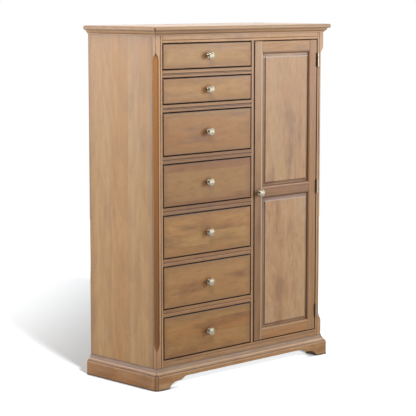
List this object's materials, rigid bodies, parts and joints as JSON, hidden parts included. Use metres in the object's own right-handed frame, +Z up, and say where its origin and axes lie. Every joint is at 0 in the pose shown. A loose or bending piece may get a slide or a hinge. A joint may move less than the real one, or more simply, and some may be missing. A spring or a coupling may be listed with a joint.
{
  "type": "gentlemans chest",
  "caption": "Tall wooden gentleman's chest: stacked drawers on the left, a hinged two-panel door over shelves on the right, moulded top and bracket feet.",
  "frame": {"origin": "on the floor, under the middle of the top board", "axes": "+X along the front towards the door, +Y from the front to the back, +Z up"},
  "size_m": [1.081, 0.455, 1.52],
  "materials": {
    "case_wood": "satin lacquer, brown wash",
    "inner_wood": "thin satin lacquer",
    "door_wood": "satin lacquer, brown wash",
    "drawer_front_wood": "satin lacquer, brown wash",
    "box_wood": "clear satin lacquer",
    "back_ply": "bare plywood, matt",
    "knob_metal": "satin nickel",
    "hinge_metal": "satin nickel",
    "catch_plastic": "matt brown"
  },
  "bodies": {
    "case": {"side_panel_left": "case_wood", "side_panel_right": "case_wood", "corner_post_left": "case_wood", "corner_post_right": "case_wood", "centre_stile": "case_wood", "partition_panel": "inner_wood", "frieze_rail": "case_wood", "drawer_rails": "case_wood", "bottom_rail": "case_wood", "case_floor": "inner_wood", "top_board": "case_wood", "crown_moulding": "case_wood", "back_panel": "back_ply", "rear_rail": "inner_wood", "base_front": "case_wood", "base_sides": "case_wood", "foot_blocks": "inner_wood", "drawer_runners": "inner_wood", "shelves": "inner_wood", "shelf_pins": "hinge_metal", "hinge_case_leaves": "hinge_metal", "door_catch": "catch_plastic"},
    "door": {"door_latch_stile": "door_wood", "door_hinge_stile": "door_wood", "door_top_rail": "door_wood", "door_middle_rail": "door_wood", "door_bottom_rail": "door_wood", "door_upper_panel": "door_wood", "door_lower_panel": "door_wood", "door_knob": "knob_metal", "hinge_door_leaves": "hinge_metal", "catch_plate": "hinge_metal"},
    "drawer_1": {"drawer_1_front": "drawer_front_wood", "drawer_1_box": "box_wood", "drawer_1_bottom": "back_ply", "drawer_1_knob": "knob_metal"},
    "drawer_2": {"drawer_2_front": "drawer_front_wood", "drawer_2_box": "box_wood", "drawer_2_bottom": "back_ply", "drawer_2_knob": "knob_metal"},
    "drawer_3": {"drawer_3_front": "drawer_front_wood", "drawer_3_box": "box_wood", "drawer_3_bottom": "back_ply", "drawer_3_knob": "knob_metal"},
    "drawer_4": {"drawer_4_front": "drawer_front_wood", "drawer_4_box": "box_wood", "drawer_4_bottom": "back_ply", "drawer_4_knob": "knob_metal"},
    "drawer_5": {"drawer_5_front": "drawer_front_wood", "drawer_5_box": "box_wood", "drawer_5_bottom": "back_ply", "drawer_5_knob": "knob_metal"},
    "drawer_6": {"drawer_6_front": "drawer_front_wood", "drawer_6_box": "box_wood", "drawer_6_bottom": "back_ply", "drawer_6_knob": "knob_metal"},
    "drawer_7": {"drawer_7_front": "drawer_front_wood", "drawer_7_box": "box_wood", "drawer_7_bottom": "back_ply", "drawer_7_knob": "knob_metal"}
  },
  "joints": [
    {"name": "drawer_1_slide", "type": "slide", "parent": "case", "child": "drawer_1", "axis": [0, -1, 0], "range_m": [0, 0.3]},
    {"name": "drawer_2_slide", "type": "slide", "parent": "case", "child": "drawer_2", "axis": [0, -1, 0], "range_m": [0, 0.3]},
    {"name": "drawer_3_slide", "type": "slide", "parent": "case", "child": "drawer_3", "axis": [0, -1, 0], "range_m": [0, 0.3]},
    {"name": "drawer_4_slide", "type": "slide", "parent": "case", "child": "drawer_4", "axis": [0, -1, 0], "range_m": [0, 0.3]},
    {"name": "drawer_5_slide", "type": "slide", "parent": "case", "child": "drawer_5", "axis": [0, -1, 0], "range_m": [0, 0.3]},
    {"name": "drawer_6_slide", "type": "slide", "parent": "case", "child": "drawer_6", "axis": [0, -1, 0], "range_m": [0, 0.3]},
    {"name": "drawer_7_slide", "type": "slide", "parent": "case", "child": "drawer_7", "axis": [0, -1, 0], "range_m": [0, 0.3]},
    {"name": "door_hinge", "type": "hinge", "parent": "case", "child": "door", "pos_m": [0.4739, -0.2051, 0.7837], "axis": [0, 0, 1], "range_deg": [0, 170]}
  ]
}
